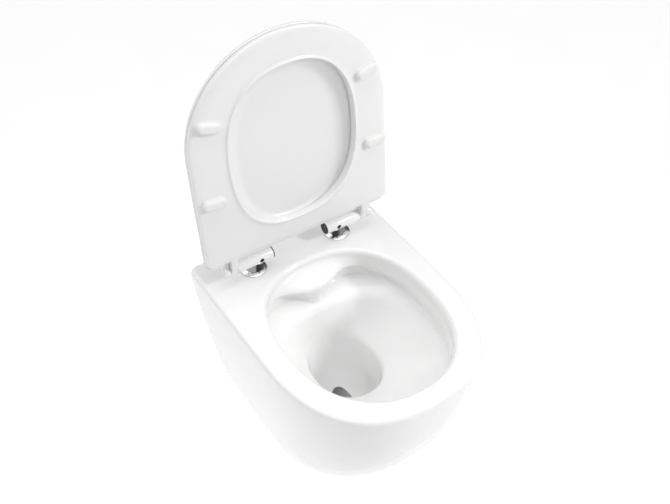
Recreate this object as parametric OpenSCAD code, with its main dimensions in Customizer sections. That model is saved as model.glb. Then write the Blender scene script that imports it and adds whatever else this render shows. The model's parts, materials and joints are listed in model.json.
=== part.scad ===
// Wall-hung rimless toilet with a raised soft-close seat and lid, quick-release hinges and open back.
// X is to the right facing the toilet, Y points to the wall, Z is up. The wall is the plane Y = 0.
// The origin is midway between the two wall studs, on the wall.

/* [Pan] */
// Width across the rim
pan_width = 360; // [350:1:370]
// Width where the pan meets the wall
pan_rear_width = 358.5; // [345:0.5:360]
// Width of the underside
foot_width = 241; // [236:1:270]
// Wall to the front of the rim
pan_length = 454; // [440:1:465]
// Wall to the front of the underside
foot_length = 255.5; // [245:0.5:270]
// Rim down to the underside
pan_height = 342.5; // [340:0.5:360]
// Rim above the stud centres
rim_rise = 80; // [78:1:84]
// Distance from the wall where the rim is widest
pan_widest = 246; // [200:1:250]
// Fullness of the front curve
pan_curve = 2.4; // [2.2:0.02:2.6]
// Thickness of the outer wall
skin_wall = 12; // [10:0.5:14]
// Thickness of the deck and rim
deck_thick = 16; // [14:0.5:18]
// Radius of the rim edges
rim_round = 9; // [6:0.5:10]

/* [Bowl] */
// Width of the flat rim at the side of the bowl mouth
rim_side = 44.5; // [42:0.5:50]
// Width of the flat rim at the front of the bowl mouth
rim_front = 38; // [36:0.5:50]
// Wall to the back edge of the bowl mouth
bowl_rear = 91; // [88:1:94]
// Thickness of the bowl wall
bowl_wall = 10; // [8:0.5:11]
// Radius of the trap passage
trap_radius = 27.5; // [26:0.5:28]
// Thickness of the trap wall
trap_wall = 8; // [6:0.5:9]

/* [Wall connections] */
// Distance between the two wall studs
stud_spacing = 180; // [176:1:184]
// Radius of the stud holes
stud_hole_radius = 9; // [7:0.5:10]
// Depth of the stud holes
stud_depth = 52; // [45:1:60]
// Wall thickness round the stud holes
stud_wall = 13; // [10:0.5:15]
// Flush inlet centre above the stud centres
inlet_rise = 35; // [34:0.5:36]
// Radius of the flush inlet
inlet_radius = 28.5; // [27:0.5:29]
// Depth of the flush inlet
inlet_depth = 40; // [38:0.5:42]
// Waste outlet centre below the stud centres
outlet_drop = 100; // [98:1:102]
// Outside radius of the waste outlet
outlet_radius = 51; // [50:0.5:52]
// Length of the finished outside of the waste outlet
outlet_length = 30; // [28:1:34]

/* [Seat and lid] */
// Gap from the side of the seat back to the side of the rim
seat_side_step = 2.2; // [0:0.1:3]
// Reach of the seat past the front of the rim
seat_reach = 4; // [0:0.5:6]
// Distance from the wall where the seat is widest
seat_widest = 289; // [270:1:300]
// Fullness of the front of the seat
seat_curve = 2.02; // [1.86:0.02:2.2]
// Radius of the rear corners
seat_corner = 12; // [10:1:24]
// Width of the ring at the side of the hole
ring_side = 68; // [64:0.5:72]
// Width of the ring at the front of the hole
ring_front = 57.5; // [54:0.5:62]
// Wall to the rear edge of the hole
hole_rear = 134.5; // [130:0.5:138]
// Height of the seat top above the rim when shut
seat_top = 22; // [21:0.5:23]
// Gap between the seat and the lid when both are shut
lid_gap = 1.5; // [1.3:0.1:2]
// Thickness of the lid edge
lid_edge = 19; // [18:0.5:21]
// Extra reach of the lid edge past the seat edge
lid_lap = 0.5; // [0.2:0.1:2]
// Depth of the dish in the underside of the lid
lid_dish = 9; // [7:0.5:11]
// Opening angle of the seat and lid
open_angle = 97.8; // [95:0.1:98]
// Length of a seat buffer
buffer_length = 38; // [34:1:40]
// Width of a seat buffer
buffer_width = 13; // [11:0.5:14]
// Front buffers from the wall
front_buffer_back = 347; // [340:1:350]
// Rear buffers from the wall
rear_buffer_back = 216; // [205:1:230]
// Lid buffers from the wall
lid_buffer_back = 300; // [290:1:310]
// Radius of a lid buffer
lid_buffer_radius = 6; // [5:0.5:7]

/* [Hinges] */
// Hinge axis from the wall
axis_back = 64.5; // [63:0.5:66]
// Hinge axis above the rim
axis_rise = 29; // [28:0.5:30]
// Spacing of the two hinge posts
post_spacing = 155; // [150:1:158]
// Radius of the hinge barrels
barrel_radius = 11; // [10:0.5:11.5]
// Wall thickness round the damper
barrel_wall = 3; // [2.5:0.25:3.5]
// Inner end of a barrel from the middle
barrel_inner = 54.5; // [52:0.5:56]
// Length of a barrel
barrel_length = 67.5; // [67:0.5:72]
// Length of the damper body
damper_length = 30; // [26:0.5:31]
// Width of a seat knuckle outside the barrel
seat_knuckle = 13; // [12:0.5:15]
// Width of a lid knuckle
lid_knuckle = 11; // [9:0.5:12]
// Gap from a barrel to the rear edge of the seat
edge_gap = 15; // [13:0.5:17]
// Radius of the damper shafts
shaft_radius = 4.5; // [4:0.25:5]
// Depth of the open recess at the inner end of a barrel
recess_depth = 12; // [10:0.5:14]
// Thickness of the plug at the bottom of the recess
plug_thick = 3; // [2:0.25:4]
// Radius of the hinge posts
post_radius = 6; // [5:0.25:6.5]
// Radius of the lock screws
lock_radius = 3.9; // [3.4:0.1:4.2]
// Radius of the chrome base discs
disc_radius = 22.75; // [20:0.25:23]
// How far a disc sits off its post, outwards and towards the wall
disc_shift = 7.5; // [6:0.25:8]
// Thickness of the chrome base discs
disc_thick = 3.5; // [3:0.25:4]
// Thickness of the gaskets under the discs
gasket_thick = 1; // [0.8:0.1:1.5]
// Radius of the fixing bolts
bolt_radius = 3; // [2.5:0.25:3.5]
// Radius of the fixing holes in the deck
fixing_radius = 8; // [7:0.5:9]
// Length of the expansion plug below the deck
plug_drop = 20; // [18:1:24]
// Thickness of the clamp nut
nut_thick = 6; // [5:0.5:7]
// Radial clearance of turning and sliding parts
running_gap = 0.05; // [0.03:0.01:0.08]
// Side clearance between knuckles
side_gap = 0.5; // [0.3:0.1:0.8]

/* [Hidden] */
white = [0.93, 0.93, 0.93];
soft_white = [0.88, 0.88, 0.87];
chrome = [0.75, 0.76, 0.78];
steel = [0.62, 0.63, 0.65];
rubber = [0.12, 0.12, 0.12];
dark = [0.08, 0.08, 0.09];
// Cut tools run this far past the faces they open
past = 1;

// Pan and bowl places
rim_z = rim_rise;
rear_corner = 8;
foot_widest = 162;
bowl_half_width = pan_width / 2 - rim_side;
bowl_front = pan_length - rim_front;
mouth_curve = 2.35;
outlet_wall = 6;
neck_radius = outlet_radius - 0.5;
neck_length = outlet_length + 14;

// Seat and lid places
seat_half_width = pan_width / 2 - seat_side_step;
seat_tip = pan_length + seat_reach;
hole_half_width = seat_half_width - ring_side;
hole_front = seat_tip - ring_front;
hole_half_length = (hole_front - hole_rear) / 2;
hole_centre = (hole_front + hole_rear) / 2;
hole_curve = 2.4;
lid_bottom = seat_top + lid_gap;
lid_top = lid_bottom + lid_edge;
seat_rear = axis_back + barrel_radius + edge_gap;
lid_rear = seat_rear - 11;
panel_half_width = hole_half_width - 23;
panel_half_length = hole_half_length - 10;
panel_centre = hole_centre - 14;
buffer_pocket = 11.5;
buffer_foot = 0.15;
buffer_share = 0.63;
front_buffer_turn = -16;
rear_buffer_turn = -3;

// Hinge places along X, from the middle outwards
post_x = post_spacing / 2;
barrel_outer = barrel_inner + barrel_length;
seat_knuckle_in = barrel_outer + side_gap;
seat_knuckle_out = seat_knuckle_in + seat_knuckle;
lid_knuckle_in = seat_knuckle_out + side_gap;
lid_knuckle_out = lid_knuckle_in + lid_knuckle;
shaft_end = lid_knuckle_out - 2;
knuckle_radius = barrel_radius - 0.5;
recess_radius = barrel_radius - 2.5;
arm_reach = barrel_radius + edge_gap + 8;
damper_radius = barrel_radius - barrel_wall;
// Seat arm, which passes under the rear edge of the lid, and lid arm
seat_arm = let(high = seat_top - axis_rise - 0.2) [
  [0, -knuckle_radius], [0, 0], [knuckle_radius - 0.1, 2], [13, high], [arm_reach, high], [arm_reach, high - 9.5],
  [15, high - 9.5]
];
lid_arm = let(low = lid_bottom - axis_rise + 0.2) [
  [0, knuckle_radius], [arm_reach - 6, knuckle_radius - 4], [arm_reach - 6, low], [8, low], [0, low]
];
post_foot = gasket_thick + disc_thick;
post_top = axis_rise + 5;
bolt_grip = 8;

// Bowl below its mouth: depth, then how far the rear, the front and the side lie inside the mouth, and fullness
bowl_levels = [
  [20, 3, 2, 1, 2.4],
  [32, 14, 3, -1, 2.5],
  [43, 22, 3, -3, 2.5],
  [49, 17, 3, -5, 2.5],
  [53, 9, 3, -7, 2.5],
  [60, 9, 4, -7, 2.5],
  [66, 42, 7, -2, 2.4],
  [80, 47, 19, 8, 2.35],
  [105, 53, 51, 30, 2.3],
  [130, 58, 96, 57, 2.25],
  [146, 60.5, 120, 75.5, 2.2],
  [163, 62, 126, 77, 2.2],
  [195, 66, 138, 81, 2.2],
  [225, 68, 149, 86, 2.2],
  [250, 74, 163, 94, 2.1],
  [264, 92, 186, 111, 2]
];
// Levels that the outside of the bowl follows, and how far below each it lies
body_levels = [[0, 0], [2, 0], [5, 2], [6, 10], [8, 4], [9, 4], [10, 3], [11, 0], [13, 0], [14, 6]];
// Rounded underside of the bowl, in the same terms
bowl_base = [264, 110, 204, 122, 2];
// Rising part of the trap: distance from the wall and depth below the rim
trap_rise = [[206, 230], [180, 238], [152, 242], [124, 236], [101, 216], [87, 188], [79, 150]];
// Falling part of the trap: distance from the wall, depth below the rim and extra radius
trap_fall = [[94, 150, 0.5], [64, 158, 3], [34, rim_z + outlet_drop - 2, 11]];
// Right flush channel: the place along each axis, the height above or below the rim, and the radius
channel_start = [[2, -30, inlet_rise, 17], [22, -46, inlet_rise - 2, 17]];
channel_end = [[46, -70, rim_z - 52, 14], [60, -92, rim_z - 54, 12], [66, -112, rim_z - 55, 10]];
// Section of the seat ring: share of the way from the outer edge to the hole, and height above the rim
seat_section = [
  [0.014, seat_top], [0, seat_top - 2], [0, 10], [0.012, 7.9], [0.05, 6.9], [0.25, 8.7], [0.5, 9.9], [0.76, 9.9],
  [0.84, 8.9], [0.89, 7.4], [0.94, 7], [0.98, 7.9], [1, 10], [1, seat_top - 5], [0.975, seat_top - 1.4],
  [0.93, seat_top], [0.5, seat_top + 0.3]
];
// Edge of the lid: how far inside the outline, and height above the rim
lid_section = [
  [60, lid_top], [30, lid_top - 2], [16, lid_top - 4.3], [8, lid_top - 7.2], [3.5, lid_top - 10.2],
  [1.2, lid_top - 12.7], [0, lid_bottom + 3.6], [0, lid_bottom + 2.5], [0.9, lid_bottom + 0.9], [3, lid_bottom],
  [22, lid_bottom]
];
// Dish in the underside of the lid: growth of half width, half length and centre past the flat panel, and share
// of the depth
dish_section = [[27, 14, 6, 0.05], [19, 12, 4, 0.28], [8, 6, 2, 0.78], [0, 0, 0, 1]];

function power(v, e) = v <= 0 ? 0 : pow(v, e);
function signed(v, e) = v < 0 ? -pow(-v, e) : power(v, e);
function mix(a, b, t) = [for (i = [0 : len(a) - 1]) a[i] * (1 - t) + b[i] * t];
function unit(v) = v / norm(v);
// Closes a half outline, given from the rear middle to the front tip, by its mirror image
function closed(h) = concat(h, [for (i = [len(h) - 2 : -1 : 1]) [-h[i][0], h[i][1]]]);
// Lays an outline, given as X and distance from the wall, at a height
function at_height(l, z) = [for (p = l) [p[0], -p[1], z]];

// Outline with a straight back, rounded rear corners, nearly straight sides and a full front curve
function d_half(w, wr, rear, widest, tip, n, rc) = concat(
  [[0, rear], [(wr - rc) * 0.5, rear]],
  [for (a = [0 : 15 : 90]) [wr - rc + rc * sin(a), rear + rc - rc * cos(a)]],
  [for (s = [0.25, 0.5, 0.75]) [wr + (w - wr) * sin(90 * s), rear + rc + (widest - rear - rc) * s]],
  [for (a = [0 : 5.625 : 90]) [w * power(cos(a), 2 / n), widest + (tip - widest) * power(sin(a), 2 / n)]]
);
function d_loop(w, wr, rear, widest, tip, n, rc, z) =
  at_height(closed(d_half(w, wr, rear, widest, tip, n, rc)), z);

// Egg outline with as many points as the one above
function egg_loop(a, b, c, n, z) = at_height(closed([
  for (i = [0 : 28]) let(t = -90 + 180 * i / 28) [a * power(cos(t), 2 / n), c + b * signed(sin(t), 2 / n)]
]), z);

// Solid through a stack of outlines, from the top down, with a fan of triangles at each end
function middle(l) = (l[0] + l[len(l) / 2]) / 2;
module skin(loops, ring = false) {
  n = len(loops[0]);
  m = len(loops);
  points = concat([for (l = loops) each l], ring ? [] : [middle(loops[0]), middle(loops[m - 1])]);
  caps = ring ? [] : [for (i = [0 : n - 1]) let(j = (i + 1) % n)
    each [[i, j, m * n], [(m - 1) * n + j, (m - 1) * n + i, m * n + 1]]];
  sides = [for (k = [0 : ring ? m - 1 : m - 2]) for (i = [0 : n - 1])
    let(j = (i + 1) % n, k2 = (k + 1) % m, a = k * n + i, b = k * n + j, c = k2 * n + i, d = k2 * n + j)
    each [[a, c, d], [a, d, b]]];
  polyhedron(points, concat(caps, sides), convexity = 10);
}

// Bent tube through points given as [centre, radius]
module tube(path, sides) {
  m = len(path);
  skin([for (i = [0 : m - 1]) let(
    t = unit(path[min(i + 1, m - 1)][0] - path[max(i - 1, 0)][0]),
    u = unit([1, 0, 0] - t[0] * t),
    v = cross(t, u)
  ) [for (k = [0 : sides - 1]) let(a = 360 * k / sides) path[i][0] + path[i][1] * (cos(a) * u + sin(a) * v)]]);
}

// Cylinder that starts at a distance from the wall and runs forward from it
module out_from_wall(x, y, z) {
  translate([x, -y, z]) rotate([90, 0, 0]) children();
}

// Round knuckles on the hinge axis, each with an arm drawn as distance in front of the axis and height above it
module knuckles(x0, x1, arm) {
  both_sides() translate([0, -axis_back, axis_rise]) {
    along_x(x0, x1, knuckle_radius);
    translate([x0, 0, 0]) rotate([90, 0, 90]) linear_extrude(x1 - x0) polygon([for (p = arm) [-p[0], p[1]]]);
  }
}

module both_sides() {
  children();
  mirror([1, 0, 0]) children();
}

// Side and front profile of the pan at a depth below the rim
function depth_part(d) = min(1, max(0, d / pan_height));
function width_share(d) = let(f = foot_width / pan_width)
  f + (1 - f) * power(1 - power(depth_part(d), 1.25), 1 / 1.2);
function reach_share(d) = power(1 - power(depth_part(d), 1.92), 1 / 1.62);
function pan_loop(d, inset, rear, rc) = let(g = width_share(d), h = reach_share(d)) d_loop(
  pan_width / 2 * g - inset, pan_rear_width / 2 * g - inset, rear, foot_widest + (pan_widest - foot_widest) * h,
  foot_length + (pan_length - foot_length) * h - inset, pan_curve, rc, rim_z - d);

module pan_outside() {
  edge = [for (a = [90 : -22.5 : 0]) [rim_round * (1 - sin(a)), rim_round * (1 - cos(a))]];
  sides = [for (s = [0.1 : 0.1 : 0.9]) [pan_height * s, 0]];
  foot = [for (e = [[14, 0], [7, 3], [2, 9], [0, 18]]) [pan_height - e[0], e[1]]];
  skin([for (l = concat(edge, sides, foot)) pan_loop(l[0], l[1], 0, rear_corner)]);
}

module pan_hollow() {
  top = [[deck_thick, 8], [deck_thick + 3, 2]];
  sides = [for (s = [0.14 : 0.14 : 0.84]) [pan_height * s, 0]];
  foot = [for (e = [[14, 0], [3, 6], [0, 18]]) [pan_height - skin_wall - e[0], e[1]]];
  skin([for (l = concat(top, sides, foot)) pan_loop(l[0], skin_wall + l[1], -past, rear_corner - 2)]);
}

// Outline of the bowl, inside its mouth by the rear, front and side amounts, and grown outwards
function bowl_loop(rear, front, side, n, grow, d) = egg_loop(bowl_half_width - side + grow,
  (bowl_front - bowl_rear - rear - front) / 2 + grow, (bowl_front + bowl_rear + rear - front) / 2, n, rim_z - d);
function bowl_level(l, grow, extra) = bowl_loop(l[1], l[2], l[3], l[4], grow, l[0] + extra);

module bowl_space() {
  edge = [for (a = [90 : -22.5 : 0]) [rim_round * (1 - cos(a)), rim_round * (1 - sin(a))]];
  skin(concat(
    [bowl_loop(0, 0, 0, mouth_curve, rim_round, -3)],
    [for (e = edge) bowl_loop(0, 0, 0, mouth_curve, e[0], e[1])],
    [for (l = bowl_levels) bowl_level(l, 0, 0)]
  ));
}

module bowl_body() {
  skin(concat(
    [bowl_loop(0, 0, 0, mouth_curve, bowl_wall, deck_thick / 2)],
    [for (b = body_levels) bowl_level(bowl_levels[b[0]], bowl_wall, b[1])],
    [bowl_level(bowl_base, bowl_wall, bowl_wall)]
  ));
}

module trap(grow) {
  tube([for (p = trap_rise) [[0, -p[0], rim_z - p[1]], trap_radius + grow]], 24);
  tube([for (p = trap_fall)
    [[0, -p[0] - (p == trap_fall[0] ? grow : 0), rim_z - p[1]], trap_radius + p[2] + grow]], 24);
}

// Flush channels from the inlet to the two outlets behind the bowl edge
module flush_channels(grow) {
  for (s = [-1, 1]) tube([for (p = concat(channel_start, channel_end))
    [[s * p[0], p[1], p[2]], p[3] + min(grow, grow * (110 + p[1]) / 30 + 1)]], 16);
}

// Lugs that carry the wall studs, joined to the side walls
module stud_lugs() {
  wing = (pan_rear_width - stud_spacing) / 2 - rear_corner;
  plate = skin_wall + 2;
  boss = stud_hole_radius + stud_wall;
  both_sides() {
    out_from_wall(stud_spacing / 2, 0, 0) cylinder(r = boss, h = stud_depth, $fn = 40);
    translate([stud_spacing / 2, -plate, -boss]) cube([wing, plate, 2 * boss]);
  }
}

module pan_shell() {
  difference() {
    union() {
      difference() {
        pan_outside();
        pan_hollow();
      }
      intersection() {
        pan_outside();
        union() {
          bowl_body();
          trap(trap_wall);
          flush_channels(6);
          stud_lugs();
          out_from_wall(0, 0, inlet_rise) cylinder(r = inlet_radius + 8, h = inlet_depth + 8, $fn = 56);
          out_from_wall(0, 2, -outlet_drop) cylinder(r = neck_radius, h = neck_length, $fn = 60);
        }
      }
    }
    bowl_space();
    trap(0);
    flush_channels(0);
    outlet_bore = outlet_radius - outlet_wall - 1;
    out_from_wall(0, -past, -outlet_drop) cylinder(r = outlet_bore, h = neck_length - 5, $fn = 60);
    out_from_wall(0, neck_length - 6.5, -outlet_drop)
      cylinder(r1 = outlet_bore - 1, r2 = outlet_bore - 8, h = 7, $fn = 60);
  }
}

module pan() {
  color(white) difference() {
    union() {
      resize([0, 0, 0]) pan_shell();
      out_from_wall(0, 0, -outlet_drop) difference() {
        cylinder(r = outlet_radius, h = outlet_length);
        translate([0, 0, -past]) cylinder(r = outlet_radius - outlet_wall, h = outlet_length + 2 * past);
      }
    }
    out_from_wall(0, -past, inlet_rise) cylinder(r = inlet_radius, h = inlet_depth + past);
    both_sides() {
      out_from_wall(stud_spacing / 2, -past, 0) cylinder(r = stud_hole_radius, h = stud_depth + 2 * past);
      translate([post_x, -axis_back, rim_z - deck_thick - plug_drop])
        cylinder(r = fixing_radius, h = deck_thick + plug_drop + past);
    }
  }
}

// Puts a hinge part, drawn for the right side with X from the middle and the axis at the origin, on its side
module on_axis(s) {
  translate([0, -axis_back, rim_z + axis_rise]) scale([s, 1, 1]) children();
}

// Puts a fixing part, drawn round the origin, on the rim at a hinge post
module at_post(s) {
  translate([s * post_x, -axis_back, rim_z]) children();
}

// Turns a part drawn in the shut position to the raised position
module raised() {
  translate([0, -axis_back, rim_z + axis_rise]) rotate([-open_angle, 0, 0])
    translate([0, axis_back, -axis_rise]) children();
}

module along_x(x0, x1, r) {
  translate([x0, 0, 0]) rotate([0, 90, 0]) cylinder(r = r, h = x1 - x0);
}

// Seat and lid outlines, in the shut position with the rim at height 0
function seat_loop(z) = d_loop(seat_half_width, seat_half_width - 1, seat_rear, seat_widest, seat_tip, seat_curve,
  seat_corner, z);
function lid_loop(inset, z) = let(w = seat_half_width + lid_lap - inset) d_loop(w, w - 1, lid_rear + inset,
  seat_widest, seat_tip + lid_lap - inset, seat_curve, seat_corner + 2 - min(inset, seat_corner - 2), z);
function hole_loop(z) = egg_loop(hole_half_width, hole_half_length, hole_centre, hole_curve, z);

// X of the seat edge and of the hole edge at a distance from the wall, and a place between them
function edge_x(y) = seat_half_width
  * power(1 - power(max(0, y - seat_widest) / (seat_tip - seat_widest), seat_curve), 1 / seat_curve);
function hole_x(y) = hole_half_width
  * power(1 - power(abs(y - hole_centre) / hole_half_length, hole_curve), 1 / hole_curve);
function on_ring(y, share) = hole_x(y) + share * (edge_x(y) - hole_x(y));

module seat_shell() {
  skin([for (p = seat_section) mix(seat_loop(p[1]), hole_loop(p[1]), p[0])], ring = true);
}

module buffer_shape(y, turn, z0, z1) {
  half = (buffer_length - buffer_width) / 2;
  translate([on_ring(y, buffer_share), -y, z0]) rotate([0, 0, turn]) {
    translate([-half, -buffer_width / 2, 0]) cube([2 * half, buffer_width, z1 - z0]);
    for (s = [-1, 1]) translate([s * half, 0, 0]) cylinder(d = buffer_width, h = z1 - z0);
  }
}

module seat_ring() {
  color(white) raised() difference() {
    union() {
      seat_shell();
      knuckles(seat_knuckle_in, seat_knuckle_out, seat_arm);
    }
    both_sides() {
      translate([0, -axis_back, axis_rise])
        along_x(seat_knuckle_in - past, seat_knuckle_out + past, shaft_radius + running_gap);
      buffer_shape(front_buffer_back, front_buffer_turn, 0, buffer_pocket);
      buffer_shape(rear_buffer_back, rear_buffer_turn, 0, buffer_pocket);
    }
  }
}

module seat_buffer(y, turn, s) {
  color(soft_white) raised() scale([s, 1, 1]) buffer_shape(y, turn, buffer_foot, buffer_pocket);
}

module lid_shell() {
  skin(concat(
    [for (p = lid_section) lid_loop(p[0], p[1])],
    [for (p = dish_section) egg_loop(panel_half_width + p[0], panel_half_length + p[1], panel_centre + p[2],
      hole_curve, lid_bottom + lid_dish * p[3])]
  ));
}

module lid() {
  color(white) raised() difference() {
    union() {
      lid_shell();
      knuckles(lid_knuckle_in, lid_knuckle_out, lid_arm);
    }
    both_sides() translate([0, -axis_back, axis_rise]) {
      along_x(lid_knuckle_in - past, shaft_end + 0.3, shaft_radius + running_gap);
      along_x(lid_knuckle_in, lid_knuckle_out + 5, 2);
    }
  }
}

module lid_buffer(s) {
  foot = seat_top + 0.55;
  color(soft_white) raised() translate([s * on_ring(lid_buffer_back, 0.535), -lid_buffer_back, foot])
    cylinder(r = lid_buffer_radius, h = lid_bottom - foot);
}

module hinge_barrel(s) {
  slot = 2 * lock_radius - 1.2;
  depth = barrel_radius + past;
  color(white) on_axis(s) difference() {
    along_x(barrel_inner, barrel_outer, barrel_radius);
    along_x(barrel_inner - past, barrel_inner + recess_depth, recess_radius);
    along_x(barrel_outer - damper_length, barrel_outer + past, damper_radius);
    translate([post_x, 0, -depth]) cylinder(r = post_radius + running_gap, h = depth + post_top - axis_rise + past);
    translate([post_x, 0, 0]) rotate([90, 0, 0]) cylinder(r = lock_radius + running_gap, h = depth);
    translate([post_x - slot / 2, -depth, -depth]) cube([slot, depth, depth]);
  }
}

module damper(s) {
  color(steel) on_axis(s) {
    along_x(barrel_outer - damper_length, barrel_outer, damper_radius);
    along_x(barrel_outer - past, shaft_end, shaft_radius);
  }
}

module barrel_plug(s) {
  bottom = barrel_inner + recess_depth;
  color(dark) on_axis(s) along_x(bottom - plug_thick, bottom, recess_radius);
}

module lock_screw(s) {
  color(dark) on_axis(s) translate([post_x, -post_radius - 2 * running_gap, 0]) rotate([90, 0, 0]) difference() {
    cylinder(r = lock_radius, h = barrel_radius - post_radius - 1);
    translate([0, 0, 1.2]) cylinder(r = 2, h = 10, $fn = 6);
  }
}

module hinge_post(s) {
  color(steel) at_post(s) difference() {
    union() {
      translate([0, 0, post_foot]) cylinder(r = post_radius, h = post_top - post_foot - 1);
      translate([0, 0, post_top - 1]) cylinder(r1 = post_radius, r2 = post_radius - 1, h = 1);
    }
    cylinder(r = bolt_radius, h = post_foot + bolt_grip);
  }
}

module base_disc(s) {
  round = disc_thick - 1;
  color(chrome) at_post(s) difference() {
    translate([s * disc_shift, disc_shift, 0]) rotate_extrude() polygon(concat(
      [[0, gasket_thick], [disc_radius, gasket_thick]],
      [for (a = [0 : 15 : 90]) [disc_radius - round + round * cos(a), post_foot - round + round * sin(a)]],
      [[0, post_foot]]
    ));
    cylinder(r = bolt_radius, h = post_foot + past);
  }
}

module disc_gasket(s) {
  color(rubber) at_post(s) difference() {
    translate([s * disc_shift, disc_shift, 0]) cylinder(r = disc_radius - 1, h = gasket_thick);
    translate([0, 0, -past]) cylinder(r = bolt_radius, h = gasket_thick + 2 * past);
  }
}

module fixing_bolt(s) {
  tail = deck_thick + plug_drop + nut_thick + 3;
  color(steel) at_post(s) translate([0, 0, -tail]) cylinder(r = bolt_radius, h = tail + post_foot + bolt_grip - 1);
}

module expansion_plug(s) {
  bulge = fixing_radius + 1.5;
  color(rubber) at_post(s) rotate_extrude() polygon([
    [bolt_radius, -deck_thick - plug_drop], [fixing_radius, -deck_thick - plug_drop],
    [bulge, -deck_thick - plug_drop + 6], [bulge, -deck_thick - 6],
    [fixing_radius, -deck_thick - 1], [fixing_radius, 0], [bolt_radius, 0]
  ]);
}

module clamp_nut(s) {
  color(steel) at_post(s) translate([0, 0, -deck_thick - plug_drop - nut_thick]) difference() {
    cylinder(r = bolt_radius + 4, h = nut_thick, $fn = 6);
    translate([0, 0, -past]) cylinder(r = bolt_radius, h = nut_thick + 2 * past);
  }
}

pan();
disc_gasket(-1);  // disc_gasket_left
disc_gasket(1);  // disc_gasket_right
base_disc(-1);  // base_disc_left
base_disc(1);  // base_disc_right
hinge_post(-1);  // hinge_post_left
hinge_post(1);  // hinge_post_right
fixing_bolt(-1);  // fixing_bolt_left
fixing_bolt(1);  // fixing_bolt_right
expansion_plug(-1);  // expansion_plug_left
expansion_plug(1);  // expansion_plug_right
clamp_nut(-1);  // clamp_nut_left
clamp_nut(1);  // clamp_nut_right
hinge_barrel(-1);  // hinge_barrel_left
hinge_barrel(1);  // hinge_barrel_right
damper(-1);  // damper_left
damper(1);  // damper_right
barrel_plug(-1);  // barrel_plug_left
barrel_plug(1);  // barrel_plug_right
lock_screw(-1);  // lock_screw_left
lock_screw(1);  // lock_screw_right
seat_ring();
seat_buffer(front_buffer_back, front_buffer_turn, -1);  // seat_buffer_front_left
seat_buffer(front_buffer_back, front_buffer_turn, 1);  // seat_buffer_front_right
seat_buffer(rear_buffer_back, rear_buffer_turn, -1);  // seat_buffer_rear_left
seat_buffer(rear_buffer_back, rear_buffer_turn, 1);  // seat_buffer_rear_right
lid();
lid_buffer(-1);  // lid_buffer_left
lid_buffer(1);  // lid_buffer_right
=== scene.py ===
import json
import math
import bmesh
import bpy
import numpy as np
from mathutils import Matrix, Vector


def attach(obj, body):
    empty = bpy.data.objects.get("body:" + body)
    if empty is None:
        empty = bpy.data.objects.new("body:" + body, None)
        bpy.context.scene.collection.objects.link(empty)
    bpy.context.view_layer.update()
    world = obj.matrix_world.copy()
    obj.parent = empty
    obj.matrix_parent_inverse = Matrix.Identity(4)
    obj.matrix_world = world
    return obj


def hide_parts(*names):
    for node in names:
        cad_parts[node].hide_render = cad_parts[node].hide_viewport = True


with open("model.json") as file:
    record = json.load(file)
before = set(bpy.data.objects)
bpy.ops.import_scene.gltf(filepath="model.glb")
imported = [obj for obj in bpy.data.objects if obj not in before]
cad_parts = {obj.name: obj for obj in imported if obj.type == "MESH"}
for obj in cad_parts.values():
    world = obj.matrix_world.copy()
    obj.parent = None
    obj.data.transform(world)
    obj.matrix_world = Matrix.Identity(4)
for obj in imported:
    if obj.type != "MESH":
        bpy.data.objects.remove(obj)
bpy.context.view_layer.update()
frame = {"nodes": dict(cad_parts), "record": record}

# Sizes in millimetres, from the part's source. The powers that shape the pan's sides and mouth, the trap's
# course and the buffers' size are this script's own.
PAN_W, PAN_WR, PAN_L, PAN_H = 360, 358.5, 454, 342.5
FOOT_W, FOOT_L, FOOT_WIDEST = 241, 255.5, 162
SIDE_P, SIDE_Q, FRONT_P, FRONT_Q = 1.21, 1.13, 1.94, 1.6
PAN_WIDEST, PAN_N = 246, 2.4
SKIN, DECK, RIM_R = 12, 16, 9
RIM_Z = 80
MOUTH_A, MOUTH_REAR, MOUTH_FRONT = 135.5, 91, 416
MOUTH_MID, MOUTH_NR, MOUTH_NF = 253.5, 2.44, 2.24
BOWL_WALL = 10
AXIS_Y, AXIS_Z, OPEN = 64.5, 29, 97.8
SEAT_W, SEAT_TIP, SEAT_WIDEST, SEAT_N = 177.8, 458, 289, 2.02
SEAT_REAR, SEAT_CORNER = 90.5, 12
LID_LAP, LID_REAR = 0.5, 79.5
SEAT_TOP, LID_LOW, LID_TOP = 22, 23.5, 42.5
HOLE_A, HOLE_B, HOLE_C, HOLE_N = 109.8, 133, 267.5, 2.4
POST_X, BARREL_IN, BARREL_OUT, BARREL_R = 77.5, 54.5, 122, 11
KNUCKLE_R, SEAT_KNUCKLE, LID_KNUCKLE = 10.5, (122.5, 135.5), (136, 147)
DISC_R, DISC_SHIFT, DISC_LOW, DISC_HIGH = 22.75, 7.5, 1, 4.5
BUFFER_L, BUFFER_W, BUFFER_SHARE = 40, 17, 0.63
STUD_X, STUD_R, INLET_Z, INLET_R, OUTLET_Z, OUTLET_R = 90, 9, 35, 28.5, -100, 51
TRAP_WALL, CHANNEL_WALL, FIXING_R = 8, 6, 8
# The stage round the object
FLOOR_Z, FLOOR_R, DOME_R = -1300, 8000, 7900

# Trap: distance from the wall, depth below the rim and change of radius
TRAP_R = 27.5
TRAP = [
    (228, 266, -5.5), (214, 268, -5.5), (198, 268.5, -4.5), (178, 266, -2.5), (152, 258, 0), (124, 242, 0),
    (101, 217, 0), (87, 188, 0), (79, 150, 0.5)
]
TRAP_FALL = [(94, 150, 0.5), (64, 158, 3), (34, 178, 11)]

# Points of an outline for each step of the source's outline
SUB = 5


def power(v, e):
    """Power that gives 0 for values just under 0."""
    return 0.0 if v <= 0 else v ** e


def signed(v, e):
    """Power that keeps the sign."""
    return -((-v) ** e) if v < 0 else power(v, e)


def both_halves(h):
    """Closes a half outline, from the rear middle to the front tip, by its mirror image."""
    return np.array(h + [(-x, y) for x, y in h[-2:0:-1]])


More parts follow.
